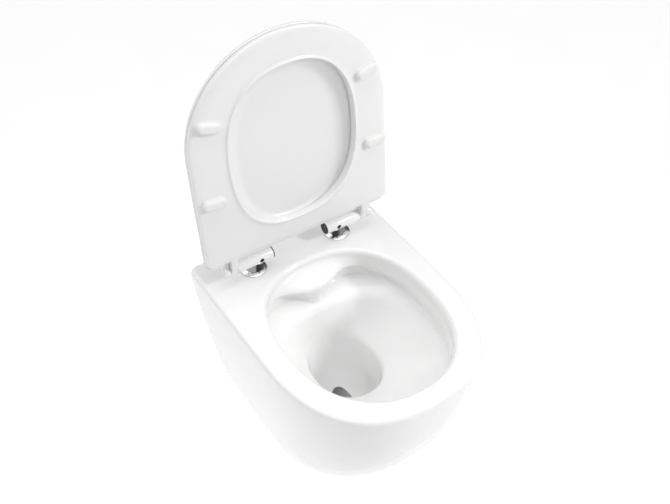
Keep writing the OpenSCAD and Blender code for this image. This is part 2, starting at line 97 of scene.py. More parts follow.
def d_outline(w, wr, rear, widest, tip, n, rc):
    """D outline of seat and lid: flat rear, rounded corners, sides and a full front."""
    pts = []
    for i in range(28 * SUB + 1):
        s = i / SUB
        if s <= 2:
            pts.append(((wr - rc) * s / 2, rear))
        elif s <= 8:
            a = math.radians(15 * (s - 2))
            pts.append((wr - rc + rc * math.sin(a), rear + rc - rc * math.cos(a)))
        elif s <= 12:
            q = (s - 8) / 4
            pts.append((wr + (w - wr) * math.sin(math.pi / 2 * q), rear + rc + (widest - rear - rc) * q))
        else:
            a = math.radians(5.625 * (s - 12))
            x = w * power(math.cos(a), 2 / n)
            pts.append((x, widest + (tip - widest) * power(math.sin(a), 2 / n)))
    pts[-1] = (0.0, tip)
    return both_halves(pts)


def egg(a, b, c, n):
    """Full oval round the distance c from the wall."""
    pts = []
    for i in range(28 * SUB + 1):
        t = math.radians(-90 + 180 * i / (28 * SUB))
        pts.append((a * power(math.cos(t), 2 / n), c + b * signed(math.sin(t), 2 / n)))
    pts[0] = (0.0, c - b)
    pts[-1] = (0.0, c + b)
    return both_halves(pts)


def level(outline, z):
    """Outline of distances from the wall as points in the frame, all at one height."""
    return np.column_stack([outline[:, 0], -outline[:, 1], np.full(len(outline), float(z))])


def soften(points, times, closed=False):
    """Rounds the corners of a profile by cutting them again and again."""
    p = [np.array(v, float) for v in points]
    for _ in range(times):
        q = []
        n = len(p)
        for i in range(n if closed else n - 1):
            a, b = p[i], p[(i + 1) % n]
            q += [a * 0.75 + b * 0.25, a * 0.25 + b * 0.75]
        p = q if closed else [p[0]] + q + [p[-1]]
    return p


def make_mesh(name, verts, faces):
    """Object from points in millimetres."""
    mesh = bpy.data.meshes.new(name)
    mesh.from_pydata([tuple(float(c) / 1000 for c in v) for v in verts], [], faces)
    mesh.validate()
    mesh.update()
    obj = bpy.data.objects.new(name, mesh)
    bpy.context.scene.collection.objects.link(obj)
    return obj


def skin(name, loops, ring=False):
    """Solid through a stack of loops from the top down, capped at both ends or closed on itself."""
    n, m = len(loops[0]), len(loops)
    verts = np.concatenate(loops)
    faces = []
    for k in range(m if ring else m - 1):
        for i in range(n):
            j, k2 = (i + 1) % n, (k + 1) % m
            faces.append((k * n + i, k2 * n + i, k2 * n + j, k * n + j))
    if not ring:
        faces.append(tuple(range(n)))
        faces.append(tuple((m - 1) * n + i for i in range(n))[::-1])
    return make_mesh(name, verts, faces)


def tube(name, path, sides=40):
    """Round solid along a path of X, Y, Z and radius."""
    pts = [np.array(p[:3], float) for p in path]
    loops = []
    for i, c in enumerate(pts):
        t = pts[min(i + 1, len(pts) - 1)] - pts[max(i - 1, 0)]
        t /= np.linalg.norm(t)
        u = np.array([1.0, 0, 0]) - t[0] * t
        u /= np.linalg.norm(u)
        v = np.cross(t, u)
        a = np.linspace(0, 2 * math.pi, sides, endpoint=False)
        loops.append(c + path[i][3] * (np.outer(np.cos(a), u) + np.outer(np.sin(a), v)))
    return skin(name, loops)


def smooth_curve(p, steps):
    """Smooth curve through rows of numbers, with this many steps from each row to the next."""
    out = []
    for i in range(len(p) - 1):
        a, b, c, d = p[max(i - 1, 0)], p[i], p[i + 1], p[min(i + 2, len(p) - 1)]
        for k in range(steps):
            t = k / steps
            square = (2 * a - 5 * b + 4 * c - d) * t * t
            cube = (3 * b - a - 3 * c + d) * t ** 3
            out.append(0.5 * ((2 * b) + (c - a) * t + square + cube))
    out.append(p[-1])
    return out


def bend(path, steps=5):
    """Smooth curve through the points of a tube."""
    return smooth_curve([np.array(v, float) for v in path], steps)


def turned(name, profile, axis, origin, steps=96):
    """Solid of revolution: the profile gives radius and place along the axis."""
    a = np.linspace(0, 2 * math.pi, steps, endpoint=False)
    ax = np.array(axis, float)
    u = np.array([0, 0, 1.0]) if abs(ax[2]) < 0.5 else np.array([1.0, 0, 0])
    v = np.cross(ax, u)
    circle = np.outer(np.cos(a), u) + np.outer(np.sin(a), v)
    loops = [np.array(origin) + ax * h + max(r, 0.01) * circle for r, h in profile]
    return skin(name, loops)


def box(name, x0, x1, y0, y1, z0, z1):
    """Solid with six flat sides."""
    v = [(x, y, z) for x in (x0, x1) for y in (y0, y1) for z in (z0, z1)]
    f = [(0, 1, 3, 2), (4, 6, 7, 5), (0, 4, 5, 1), (2, 3, 7, 6), (0, 2, 6, 4), (1, 5, 7, 3)]
    return make_mesh(name, v, f)


def outwards(obj):
    """Turns every face of a solid outwards."""
    bm = bmesh.new()
    bm.from_mesh(obj.data)
    bmesh.ops.recalc_face_normals(bm, faces=bm.faces)
    bm.to_mesh(obj.data)
    bm.free()
    return obj


def combine(obj, others, how):
    """Joins solids to the object, cuts them out of it or keeps what they share."""
    for o in [obj] + others:
        outwards(o)
    for o in others:
        m = obj.modifiers.new("b", "BOOLEAN")
        m.operation = how
        m.object = o
        m.solver = "MANIFOLD"
    dg = bpy.context.evaluated_depsgraph_get()
    mesh = bpy.data.meshes.new_from_object(obj.evaluated_get(dg))
    obj.modifiers.clear()
    obj.data = mesh
    for o in others:
        bpy.data.objects.remove(o, do_unlink=True)
    return obj


def finish_shape(obj, angle):
    """Smooth shading, with edges sharper than the angle kept."""
    for p in obj.data.polygons:
        p.use_smooth = True
    obj.data.set_sharp_from_angle(angle=math.radians(angle))
    return obj


# Pan
def part_of(d):
    """Depth below the rim as a share of the pan's height."""
    return min(1.0, max(0.0, d / PAN_H))


def d_points(w, wr, rear, widest, tip, n, rc):
    """Half outline from the rear middle to the front tip, as rows of X and distance from the wall."""
    a, b, c, e = 16, 8, 20, 70
    pts = [((wr - rc) * i / a, rear) for i in range(a)]
    for i in range(b):
        t = math.pi / 2 * i / b
        pts.append((wr - rc + rc * math.sin(t), rear + rc - rc * math.cos(t)))
    for i in range(c):
        q = i / c
        pts.append((wr + (w - wr) * math.sin(math.pi / 2 * q), rear + rc + (widest - rear - rc) * q))
    for i in range(e + 1):
        t = math.pi / 2 * i / e
        pts.append((w * power(math.cos(t), 2 / n), widest + (tip - widest) * power(math.sin(t), 2 / n)))
    pts[-1] = (0.0, tip)
    return np.array(pts)


def mirrored(half):
    """Whole loop of a half, given as X, distance from the wall and height."""
    h = np.asarray(half, float)
    h[0, 0] = h[-1, 0] = 0
    other = h[-2:0:-1] * np.array([-1, 1, 1])
    p = np.concatenate([h, other])
    p[:, 1] *= -1
    return p


def pan_half(d, inset, rear, rc):
    """Half outline of the pan at a depth below the rim."""
    f = FOOT_W / PAN_W
    g = f + (1 - f) * power(1 - part_of(d) ** SIDE_P, 1 / SIDE_Q)
    h = power(1 - part_of(d) ** FRONT_P, 1 / FRONT_Q)
    widest = FOOT_WIDEST + (PAN_WIDEST - FOOT_WIDEST) * h
    tip = FOOT_L + (PAN_L - FOOT_L) * h - inset
    return d_points(PAN_W / 2 * g - inset, PAN_WR / 2 * g - inset, rear, widest, tip, PAN_N, rc)


def pan_loop(d, inset, rear, rc):
    """Whole outline of the pan at a depth below the rim."""
    p = pan_half(d, inset, rear, rc)
    return mirrored(np.column_stack([p, np.full(len(p), RIM_Z - float(d))]))


# Angles of the rim outline's points, from the rear middle to the front tip
TOP = pan_half(0, RIM_R, 0, 8)
ANGLE_MID = 253
ANGLE = np.arctan2(TOP[:, 1] - ANGLE_MID, TOP[:, 0])
ANGLE[0], ANGLE[-1] = -math.pi / 2, math.pi / 2


def oval(a, rear, front, mid, n_rear, n_front):
    """Half oval with its own fullness behind and in front, met at the angles of the rim outline."""
    c, s = np.abs(np.cos(ANGLE)), np.sin(ANGLE)
    b = np.where(s < 0, mid - rear, front - mid)
    n = np.where(s < 0, n_rear, n_front)
    r = ((c / a) ** n + (np.abs(s) / b) ** n) ** (-1 / n)
    return np.column_stack([r * c, mid + r * s])


def hump(x, width, e=2):
    """Rises smoothly from 0 to 1 and back, with its top at x 0."""
    return np.exp(-np.abs(x / width) ** e)


def ease(v, lo, hi):
    """Rises smoothly from 0 at lo to 1 at hi."""
    t = np.clip((v - lo) / (hi - lo), 0, 1)
    return t * t * (3 - 2 * t)


def bowl_halves():
    """Half loops of the bowl from the rim to the floor of the well: X, distance from the wall, depth."""
    out = []

    def add(xy, depth):
        d = np.broadcast_to(np.asarray(depth, float), (len(ANGLE),))
        out.append(np.column_stack([xy, d]))

    deg = np.degrees(ANGLE)
    for a in np.radians(np.linspace(90, 0, 13)):
        grow = RIM_R * (1 - math.cos(a))
        ring = oval(MOUTH_A + grow, MOUTH_REAR - grow, MOUTH_FRONT + grow, MOUTH_MID, MOUTH_NR, MOUTH_NF)
        add(ring, RIM_R * (1 - math.sin(a)))
    mouth = out[-1][:, :2]
    # Lower edge of the lip, pushed forward in the middle of the rear
    lip = oval(138, 92.5, 416.5, MOUTH_MID, MOUTH_NR, MOUTH_NF)
    lip[:, 1] += 37 * hump(lip[:, 0], 55, 2.6) * (deg < 0)
    crisp = 1 - ease(deg, -62, -34)
    lip_depth = 34 + 2 * crisp
    for u in np.linspace(0.08, 1, 14):
        s = u * u * (3 - 2 * u)
        add(mouth * (1 - s) + lip * s, RIM_R + (lip_depth - 3 - RIM_R) * u)
    # Undercut with the flush outlets: sharp behind, soft at the sides, none at the bridge and in front
    bridge = 1 - hump(lip[:, 0], 31, 1.7) * (deg < 0)
    reach = (1 - ease(deg, -26, 46)) * bridge
    back = lip + (oval(143.5, 97, 405, MOUTH_MID, 3.13, 2.3) - lip) * reach[:, None]
    floor_edge = oval(138.5, 131, 410, 256, 3.1, 2.3)
    floor_edge[:, 1] += 5 * hump(floor_edge[:, 0], 30, 2) * (deg < 0)
    hard = crisp * ease(reach, 0.05, 1)
    # Section of the undercut: share of the way from the lip to its back, and depth below the lip
    sharp = [
        (0.02, -1.2), (0.1, 0), (0.28, 0.8), (0.52, 1.9), (0.76, 4),
        (0.93, 8), (1, 14), (1, 21.5), (0.99, 26.2), (0.9, 28.4)
    ]
    soft = [
        (0, 0.4), (0.08, 4), (0.2, 8), (0.34, 12), (0.5, 16),
        (0.67, 19.8), (0.83, 23.2), (0.95, 26.2), (0.98, 29), (0.88, 31.6)
    ]
    for (w0, d0), (w1, d1) in zip(sharp, soft):
        w = w0 * hard + w1 * (1 - hard)
        add(lip + (back - lip) * w[:, None], lip_depth + d0 * hard + d1 * (1 - hard))
    last = out[-1].copy()
    for u, d in ((0.12, 0.2), (0.3, 0.38), (0.55, 0.58), (0.8, 0.79), (1, 1)):
        add(last[:, :2] * (1 - u) + floor_edge * u, last[:, 2] * (1 - d) + 73 * d)
    # Bowl and well: depth, half width, rear, front, widest point, fullness behind and in front
    levels = [
        (80, 127.5, 139, 397, 262, 2.7, 2.3), (92, 117.5, 141, 383, 255, 2.5, 2.3),
        (105, 105, 143, 364, 247, 2.4, 2.25), (118, 92, 144.5, 341, 238, 2.3, 2.2),
        (130, 80, 145, 318, 229, 2.25, 2.2), (139, 71, 145.5, 304, 224, 2.2, 2.2),
        (146, 64.5, 146, 293.5, 219, 2.2, 2.2), (151, 61.3, 146.6, 288.5, 217, 2.2, 2.2),
        (157, 59.5, 147.6, 285.5, 217, 2.2, 2.2), (164, 58.5, 149.5, 284, 217, 2.2, 2.2),
        (180, 56.5, 155, 282, 219, 2.2, 2.2), (195, 54.5, 161, 280.5, 222, 2.2, 2.2),
        (212, 52, 169, 279, 227, 2.2, 2.2), (225, 50, 176, 278, 231, 2.2, 2.2),
        (240, 46.5, 186, 275, 235, 2.1, 2.1), (252, 42, 196, 272, 238, 2.1, 2.1),
        (262, 34, 206, 265, 240, 2, 2), (270, 24, 217, 257, 240, 2, 2), (274, 12, 228, 249, 240, 2, 2)
    ]
    for d, a, rear, front, mid, nr, nf in levels:
        add(oval(a, rear, front, mid, nr, nf), d)
    return out


def pan_body():
    """Outer wall, rim and bowl as one skin from the underside to the floor of the well."""
    underside = soften([(0, 30), (0, 18), (1.2, 11), (5, 5), (11, 1.5), (20, 0), (34, 0)], 2)
    loops = [pan_loop(PAN_H - b, a, 0, 8) for b, a in underside]
    loops += [pan_loop(PAN_H * s, 0, 0, 8) for s in np.linspace(0.89, 0.04, 36)]
    for a in np.radians(np.linspace(0, 90, 13)):
        loops.append(pan_loop(RIM_R * (1 - math.sin(a)), RIM_R * (1 - math.cos(a)), 0, 8))
    rim = loops[-1]
    bowl = bowl_halves()
    # The loops up to this one, the lip and the undercut, stay as they are. Those below are smoothed.
    edge = 42
    bowl = bowl[:edge] + smooth_curve(bowl[edge:], 2)
    inner = []
    for h in bowl:
        h = h.copy()
        h[:, 2] = RIM_Z - h[:, 2]
        inner.append(mirrored(h))
    loops += [rim * (1 - t) + inner[0] * t for t in (0.04, 0.2, 0.5, 0.8, 0.96)]
    return skin("pan_glazed", loops + inner)


def pan_hollow():
    """The hollow inside the skirt, open at the back."""
    loops = [pan_loop(DECK, SKIN + 8, -3, 6), pan_loop(DECK + 3, SKIN + 2, -3, 6)]
    loops += [pan_loop(PAN_H * s, SKIN, -3, 6) for s in np.linspace(0.1, 0.9, 24)]
    foot = ((0, 14), (1.5, 7), (6, 3), (10, 1), (18, 0))
    loops += [pan_loop(PAN_H - SKIN - b, SKIN + a, -3, 6) for a, b in foot]
    return skin("hollow", loops)


def bowl_body():
    """Outside of the bowl's wall, as it shows from behind."""
    g = BOWL_WALL
    # Depth, half width, rear, front and place of the widest point
    levels = [
        (8, 135.5, 91, 416, 253.5), (20, 136, 93, 414, 253.5), (43, 141, 92, 413.5, 253.5),
        (62, 147, 92, 412, 253.5), (76, 143, 126, 409, 256), (109, 106, 144, 365, 247),
        (134, 79, 147, 316, 229), (149, 61, 147, 291, 219), (163, 58.5, 149, 285, 217),
        (195, 54.5, 161, 281, 223), (225, 50, 176, 278, 231), (254, 42, 198, 271, 239),
        (274, 28, 219, 261, 240), (283, 14, 230, 250, 240)
    ]
    loops = []
    for d, a, rear, front, mid in levels:
        h = oval(a + g, rear - g, front + g, mid, 2.5, 2.3)
        loops.append(mirrored(np.column_stack([h, np.full(len(h), RIM_Z - float(d))])))
    return skin("body", loops)


def trap_path(grow):
    """The two runs of the trap, made wider by a wall or not."""
    rise = [(0, -y, RIM_Z - z, TRAP_R + e + grow) for y, z, e in TRAP]
    fall = []
    for i, (y, z, e) in enumerate(TRAP_FALL):
        back = grow if i == 0 else 0
        fall.append((0, -y - back, RIM_Z - z, TRAP_R + e + grow))
    return bend(rise), bend(fall)


def channels(grow):
    """The two flush channels, from the inlet to the undercut on each side."""
    path = [
        (2, -30, 35, 17), (22, -46, 33, 16), (46, -68, RIM_Z - 45, 12), (60, -86, RIM_Z - 42, 8),
        (66, -106, RIM_Z - 41.5, 4.4)
    ]
    out = []
    for s in (-1, 1):
        pts = [(s * x, y, z, r + min(grow, grow * (106 + y) / 30)) for x, y, z, r in path]
        out.append(tube("channel", bend(pts), 32))
    return out


def from_wall(name, x, y, z, profile, steps=96):
    """Turned solid with its axis square to the wall."""
    return turned(name, profile, (0, -1, 0), (x, -y, z), steps)


def build_pan():
    """The fired piece: skin less hollow, with the spigot added and the water ways and stud holes cut."""
    rise, fall = trap_path(TRAP_WALL)
    inner = [bowl_body(), tube("rise", rise), tube("fall", fall)] + channels(CHANNEL_WALL)
    for s in (-1, 1):
        inner.append(from_wall("boss", s * STUD_X, -4, 0, [(22, 0), (22, 54), (20, 56)], 48))
        x0, x1 = sorted((s * STUD_X, s * 167))
        inner.append(box("wing", x0, x1, -14, 4, -22, 22))
    inner.append(from_wall("inlet", 0, -4, INLET_Z, [(36.5, 0), (36.5, 50), (34, 52)], 72))
    inner.append(from_wall("neck", 0, -4, OUTLET_Z, [(50.5, 0), (50.5, 48)], 72))
    hollow = combine(pan_hollow(), inner, "DIFFERENCE")
    pan = combine(pan_body(), [hollow], "DIFFERENCE")
    spigot = [(OUTLET_R - 1.5, 0), (OUTLET_R, 1.5), (OUTLET_R, 29), (OUTLET_R - 1, 30)]
    combine(pan, [from_wall("outlet", 0, 0, OUTLET_Z, spigot)], "UNION")
    rise, fall = trap_path(0)
    cuts = [tube("rise", rise), tube("fall", fall)] + channels(0)
    cuts.append(from_wall("bore", 0, -2, OUTLET_Z, [(45, 0), (45, 34), (44, 39), (36, 45)], 72))
    cuts.append(from_wall("inlet_bore", 0, -2, INLET_Z, [(INLET_R, 0), (INLET_R, 42)], 72))
    for s in (-1, 1):
        cuts.append(from_wall("stud", s * STUD_X, -2, 0, [(STUD_R, 0), (STUD_R, 56)], 48))
        place = (s * POST_X, -AXIS_Y, RIM_Z - 37)
        cuts.append(turned("fixing", [(FIXING_R, 0), (FIXING_R, 60)], (0, 0, 1), place, 48))
    combine(pan, cuts, "DIFFERENCE")
    pan.name = "pan_glazed"
    return finish_shape(pan, 40)


# Raised position of the seat and lid
def raised(points):
    """Turns points drawn shut, with the rim at height 0, to the raised position."""
    t = math.radians(OPEN)
    p = np.asarray(points, float)
    u = -(p[:, 1] + AXIS_Y)
    v = p[:, 2] - AXIS_Z
    y = -AXIS_Y - u * math.cos(t) + v * math.sin(t)
    z = RIM_Z + AXIS_Z + u * math.sin(t) + v * math.cos(t)
    return np.column_stack([p[:, 0], y, z])


def raise_mesh(obj):
    """Turns a piece drawn shut to the raised position."""
    v = np.array([tuple(w.co) for w in obj.data.vertices]) * 1000
    v = raised(v) / 1000
    obj.data.vertices.foreach_set("co", v.astype(np.float32).ravel())
    obj.data.update()
    return obj


# Section of the seat ring: share of the way from its outer edge to the hole, and height above the rim
SEAT_SECTION = [
    (0.03, SEAT_TOP), (0.006, SEAT_TOP - 0.3), (0, SEAT_TOP - 1.4), (0, SEAT_TOP - 3.4), (0.001, 16.6),
    (0.007, 15.1), (0.022, 14), (0.06, 13), (0.14, 11.9), (0.25, 11.2), (0.4, 10.8), (0.55, 10.6),
    (0.7, 10.5), (0.82, 10.3), (0.89, 9.9), (0.925, 9), (0.945, 7.8), (0.962, 7.1), (0.98, 7.3),
    (0.994, 8.6), (1.0, 11), (1.0, 15), (1.0, 18.5), (0.994, SEAT_TOP - 0.9), (0.97, SEAT_TOP),
    (0.5, SEAT_TOP + 0.3), (0.15, SEAT_TOP + 0.1)
]


def seat_outline():
    """Outer edge of the seat ring."""
    return d_outline(SEAT_W, SEAT_W - 1, SEAT_REAR, SEAT_WIDEST, SEAT_TIP, SEAT_N, SEAT_CORNER)


def prism(name, outline, x0, x1, r=1.8):
    """Slab along X with rounded edges: its outline is seen from the side, from the hinge axis."""
    c = np.mean(outline, axis=0)
    turns = np.radians((0, 22, 45, 68, 90))
    rows = [(x0 + r - r * math.sin(t), r - r * math.cos(t)) for t in turns[::-1]]
    rows += [(x1 - r + r * math.sin(t), r - r * math.cos(t)) for t in turns]
    loops = []
    for x, k in rows:
        p = c + (np.array(outline) - c) * (1 - k / 11)
        loops.append(np.column_stack([np.full(len(p), x), -AXIS_Y - p[:, 0], AXIS_Z + p[:, 1]]))
    return skin(name, loops)


def along(name, profile, steps=72):
    """Turned piece on the hinge axis in the shut position: radius and X."""
    return turned(name, profile, (1, 0, 0), (0, -AXIS_Y, AXIS_Z), steps)


def arc(cx, cy, r, a0, a1, n):
    """Points of a round from one angle to another."""
    a = np.radians(np.linspace(a0, a1, n))
    return [(cx + r * math.cos(t), cy + r * math.sin(t)) for t in a]


# Arms from the hinge axis to seat and lid: distance in front of the axis and height above it
def seat_arms():
    high, low = SEAT_TOP - AXIS_Z - 0.2, SEAT_TOP - AXIS_Z - 9.7
    out = []
    for s in (-1, 1):
        a, b = sorted((s * SEAT_KNUCKLE[0], s * SEAT_KNUCKLE[1]))
        shape = arc(0, 0, KNUCKLE_R, 262, 20, 30) + [(11.2, 0), (12.2, -4), (14, high + 0.4), (17, high)]
        shape += [(34, high), (34, low), (17, low), (13, low + 0.7), (8, low + 3)]
        out.append(prism("seat_arm", shape, a, b))
    return out


def lid_arms():
    low = LID_LOW - AXIS_Z + 0.2
    out = []
    for s in (-1, 1):
        a, b = sorted((s * LID_KNUCKLE[0], s * LID_KNUCKLE[1]))
        shape = arc(0, 0, KNUCKLE_R, -31, 78, 6)[:1]
        shape += [(22, low), (28, low), (28, 7.2), (22, 8.4), (14, 9.4), (6, 10.3)]
        shape += arc(0, 0, KNUCKLE_R, 90, 320, 34)
        out.append(prism("lid_arm", shape, a, b))
    return out


def build_seat():
    """Moulded ring with its two arms, drawn shut."""
    hole = egg(HOLE_A + 5, HOLE_B + 4.5, HOLE_C, HOLE_N)
    rim = seat_outline()
    loops = [level(rim * (1 - s) + hole * s, z) for s, z in soften(SEAT_SECTION, 2, True)]
    ring = skin("seat_ring_moulded", loops, ring=True)
    return combine(ring, seat_arms(), "UNION")


# Lid from the middle of its top round the edge to the underside: inset from the outline and height
LID_SECTION = [
    (95, LID_TOP + 0.2), (60, LID_TOP - 0.2), (42, LID_TOP - 1), (30, LID_TOP - 2), (22, LID_TOP - 3.1),
    (16, LID_TOP - 4.3), (11.5, LID_TOP - 5.7), (8, LID_TOP - 7.2), (5.5, LID_TOP - 8.7),
    (3.5, LID_TOP - 10.2), (1.9, LID_TOP - 11.8), (0.8, LID_TOP - 13.3), (0.1, LID_TOP - 15),
    (0, LID_LOW + 2.2), (0.5, LID_LOW + 0.7), (1.6, LID_LOW), (6, LID_LOW), (14, LID_LOW), (22, LID_LOW)
]
# Dished middle of the underside: growth of the oval across and along, its shift, and share of the depth
DISH_DEPTH = 9
DISH = [
    (27, 14, 6, 0.02), (24, 13, 5, 0.08), (19, 12, 4, 0.28), (13, 9, 3, 0.55), (8, 6, 2, 0.8),
    (4, 3, 1, 0.94), (0, 0, 0, 1), (-8, -8, 0, 1)
]


def lid_outline(inset, z):
    """Outline of the lid, drawn in from its edge."""
    w = SEAT_W + LID_LAP - inset
    rc = SEAT_CORNER + 2 - min(inset, SEAT_CORNER - 2)
    tip = SEAT_TIP + LID_LAP - inset
    return level(d_outline(w, w - 1, LID_REAR + inset, SEAT_WIDEST, tip, SEAT_N, rc), z)


def build_lid():
    """Moulded lid with its two arms and the dish of its underside, drawn shut."""
    loops = [lid_outline(i, z) for i, z in soften(LID_SECTION, 1)]
    for a, b, c, t in soften(DISH, 1):
        ring = egg(HOLE_A - 23 + a, HOLE_B - 10 + b, HOLE_C - 14 + c, HOLE_N)
        loops.append(level(ring, LID_LOW + DISH_DEPTH * t))
    return combine(skin("lid_moulded", loops), lid_arms(), "UNION")


# Pieces of the hinges
def lift_to_rim(obj):
    """Lifts a piece drawn from the rim's height to its place in the frame."""
    for v in obj.data.vertices:
        v.co.z += RIM_Z / 1000
    return obj


def side_name(name, s):
    return name % ("left" if s < 0 else "right")


def barrel(s):
    """Hinge barrel with rounded ends, a recess at its inner end and the slot for post and lock screw."""
    a, b, r, t = BARREL_IN, BARREL_OUT, BARREL_R, 0.9
    prof = [(8.5, a + 12), (8.5, a + 0.6), (9, a)]
    prof += [(r - t + t * math.sin(k), a + t - t * math.cos(k)) for k in np.radians((0, 30, 60, 90))]
    prof += [(r - 0.5 + 0.5 * math.cos(k), b - 0.5 + 0.5 * math.sin(k)) for k in np.radians((0, 45, 90))]
    prof += [(8.1, b), (8.1, b - 29.5)]
    obj = along("barrel", [(x, s * y) for x, y in prof], 128)
    centre = (s * POST_X, -AXIS_Y, AXIS_Z)
    post = turned("post", [(6.05, -14), (6.05, 5)], (0, 0, 1), centre, 48)
    key = turned("key", [(3.95, 0), (3.95, 9.6), (4.3, 10.4), (4.9, 12)], (0, -1, 0), centre, 48)
    slot = box("slot", s * POST_X - 1.3, s * POST_X + 1.3, -AXIS_Y - 13, -AXIS_Y, AXIS_Z - 13, AXIS_Z)
    combine(obj, [post, key, slot], "DIFFERENCE")
    obj.name = side_name("hinge_barrel_%s_smooth", s)
    return finish_shape(lift_to_rim(obj), 35)


def painted_shade_end(s):
    """Black end of a barrel, a little proud of it, with a shallow dish: painted shade, standing for the
    shaded recess at the barrel's inner end.
    """
    a, r = BARREL_IN, BARREL_R - 0.5
    prof = [(8.4, a + 9), (8.4, a + 0.3), (r - 0.2, a + 0.2), (r, a - 0.2), (r, a - 1.5)]
    prof += [(r - 0.5, a - 2), (7.6, a - 2.1), (6.9, a - 1.7), (5, a - 1.3), (0.01, a - 1.1)]
    obj = along(side_name("barrel_end_painted_shade_%s", s), [(x, s * y) for x, y in prof], 96)
    return finish_shape(lift_to_rim(obj), 30)


def painted_shade_sleeve(s):
    """Sleeve round the post, which flares where it meets the disc: black as painted shade round the post
    under the barrel.
    """
    z = DISC_HIGH - 0.6
    prof = [(6.02, z), (7.3, z), (7.3, z + 0.4), (6.8, z + 0.9), (6.5, z + 1.8), (6.45, z + 4)]
    prof += [(6.45, 16.6), (6.02, 17.4)]
    obj = turned(side_name("post_painted_shade_sleeve_%s", s), prof, (0, 0, 1), (s * POST_X, -AXIS_Y, RIM_Z), 96)
    return finish_shape(obj, 30)


def painted_shade_plate(s):
    """Dark plate let into the underside of a barrel: painted shade under the barrel, which the chrome disc
    below shows as a dark reflection.
    """
    rows = []
    for x, w in ((-17, 2.4), (-16, 3), (-12, 3.2), (0, 3.2), (10, 3.2), (17, 3), (18, 2.4)):
        a = np.radians(np.linspace(-1, 1, 25)) * math.degrees(w / BARREL_R)
        under = [(BARREL_R + 0.35) * np.array([math.sin(t), -math.cos(t)]) for t in a]
        over = [(BARREL_R - 1) * np.array([math.sin(t), -math.cos(t)]) for t in a[::-1]]
        ring = np.array(under + over)
        along_x = np.full(len(ring), s * (POST_X + x))
        rows.append(np.column_stack([along_x, ring[:, 0] - AXIS_Y, ring[:, 1] + AXIS_Z + RIM_Z]))
    obj = skin(side_name("barrel_underside_painted_shade_%s", s), rows)
    key = turned("bore", [(6.6, -16), (6.6, 0)], (0, 0, 1), (s * POST_X, -AXIS_Y, AXIS_Z + RIM_Z), 48)
    return finish_shape(combine(obj, [key], "DIFFERENCE"), 30)


def disc(s):
    """Chrome base disc with a wide border that slopes down to its edge."""
    r, lo, hi = DISC_R, DISC_LOW, DISC_HIGH
    prof = [(0.01, lo), (r - 0.6, lo), (r - 0.15, lo + 0.15), (r, lo + 0.5)]
    prof += [(r - 0.1, lo + 0.9), (r - 0.5, lo + 1.2)]
    drop = hi - lo - 1.2
    prof += [(r - 0.5 - 7 * u, hi - drop * (1 - u) ** 1.25) for u in (0.12, 0.28, 0.45, 0.62, 0.8, 0.92)]
    prof += [(r - 7.5, hi), (r - 8.5, hi), (0.01, hi)]
    obj = turned("disc", prof, (0, 0, 1), (s * (POST_X + DISC_SHIFT), -AXIS_Y + DISC_SHIFT, RIM_Z), 128)
    hole = turned("hole", [(3, -2), (3, 8)], (0, 0, 1), (s * POST_X, -AXIS_Y, RIM_Z), 32)
    combine(obj, [hole], "DIFFERENCE")
    obj.name = side_name("base_disc_%s_polished", s)
    return finish_shape(obj, 35)


def edge_x(y):
    """Half width of the seat at a distance from the wall."""
    q = max(0, y - SEAT_WIDEST) / (SEAT_TIP - SEAT_WIDEST)
    return SEAT_W * power(1 - power(q, SEAT_N), 1 / SEAT_N)


def hole_x(y):
    """Half width of the seat's hole at a distance from the wall."""
    return HOLE_A * power(1 - power(abs(y - HOLE_C) / HOLE_B, HOLE_N), 1 / HOLE_N)


def buffer(name, s, y, turn):
    """Soft pill under the seat with a domed top."""
    x = hole_x(y) + BUFFER_SHARE * (edge_x(y) - hole_x(y))
    half = (BUFFER_L - BUFFER_W) / 2
    loops = []
    a = np.linspace(0, 2 * math.pi, 96, endpoint=False)
    ca, sa = np.cos(a), np.sin(a)
    t = math.radians(turn)
    # Inset from the outline and height above the rim
    section = [(0, 13), (0, 9), (0, 5.2)]
    for k in np.radians((12, 28, 44, 60, 75, 90)):
        section.append((5 * (1 - math.cos(k)), 4.75 - 4.6 * math.sin(k)))
    section.append((7, 0))
    for inset, z in section:
        r = BUFFER_W / 2 - inset
        px = np.where(ca >= 0, half, -half) + r * ca
        py = r * sa
        qx, qy = px * math.cos(t) - py * math.sin(t), px * math.sin(t) + py * math.cos(t)
        loops.append(np.column_stack([s * (x + qx), -y + qy, np.full(len(a), z)]))
    return finish_shape(raise_mesh(skin(name, loops)), 50)


# The three large pieces
pan = build_pan()
seat = finish_shape(raise_mesh(build_seat()), 50)
lid = finish_shape(raise_mesh(build_lid()), 50)
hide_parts("pan")
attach(pan, "pan")
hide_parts("seat_ring")
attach(seat, "seat")
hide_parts("lid")
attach(lid, "lid")


